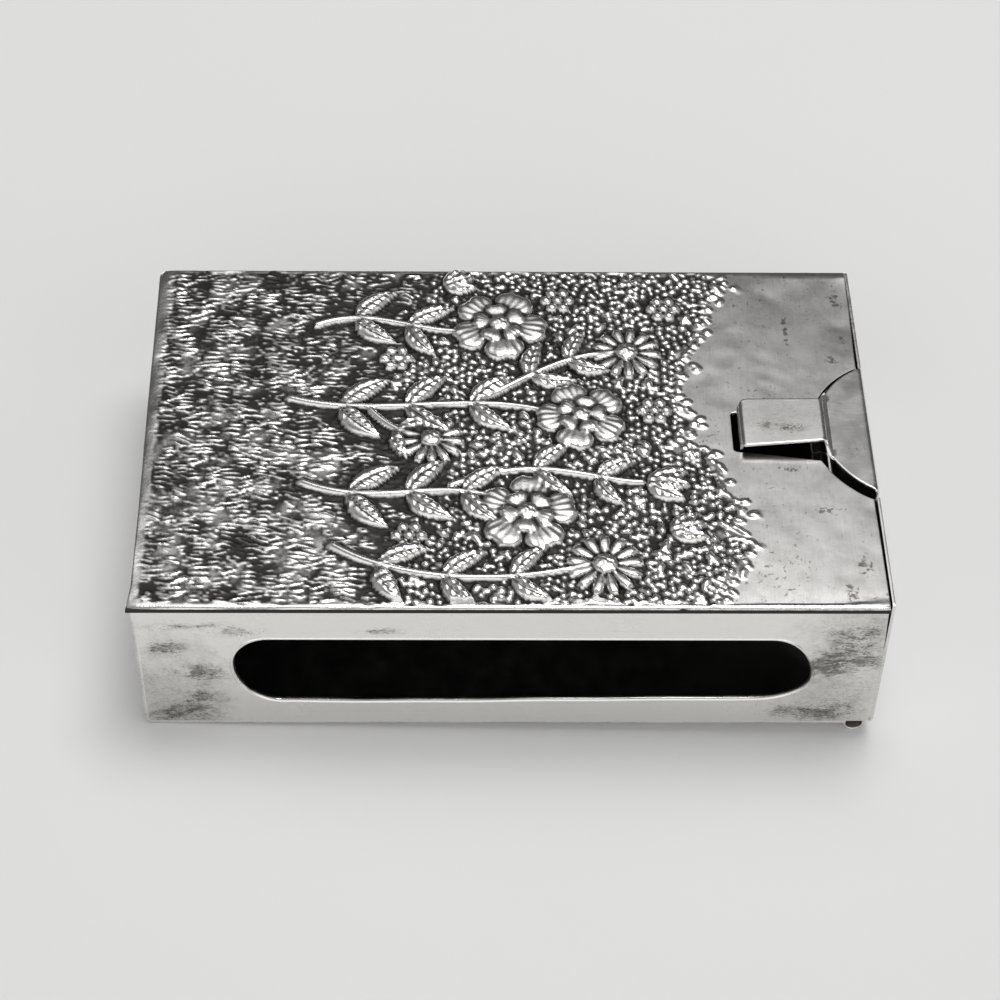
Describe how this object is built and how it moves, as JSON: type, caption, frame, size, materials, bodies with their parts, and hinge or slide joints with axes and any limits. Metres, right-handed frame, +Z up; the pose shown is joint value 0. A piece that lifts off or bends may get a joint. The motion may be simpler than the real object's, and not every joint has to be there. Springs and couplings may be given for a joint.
{
  "type": "cigarette case",
  "caption": "Flat silver case for a cigarette packet: chased top panel with a thumb notch, long side window, and a hinged end lid with a folded spring tab.",
  "frame": {"origin": "under the middle of the closed case, level with the lowest point of the hinge tubes", "axes": "+X along the case towards the hinged lid, +Y from the window side to the plain side, +Z up through the chased top panel"},
  "size_m": [0.089, 0.057, 0.0265],
  "materials": {
    "chased_silver": "chased silver sheet with darkened hollows",
    "polished_silver": "polished silver sheet with fine scratches and light tarnish",
    "hinge_silver": "drawn silver tube, dull in the joints",
    "pin_wire": "drawn wire"
  },
  "bodies": {
    "case": {"top_panel": "chased_silver", "base_and_end": "polished_silver", "front_wall": "polished_silver", "back_wall": "polished_silver", "case_hinge_tube_1": "hinge_silver", "case_hinge_tube_3": "hinge_silver", "case_hinge_tube_5": "hinge_silver", "hinge_pin": "pin_wire"},
    "lid": {"lid": "polished_silver", "lid_hinge_tube_2": "hinge_silver", "lid_hinge_tube_4": "hinge_silver"}
  },
  "joints": [
    {"name": "lid_hinge", "type": "hinge", "parent": "case", "child": "lid", "pos_m": [0.0423, 0, 0.0013], "axis": [0, 1, 0], "range_deg": [0, 170]}
  ]
}
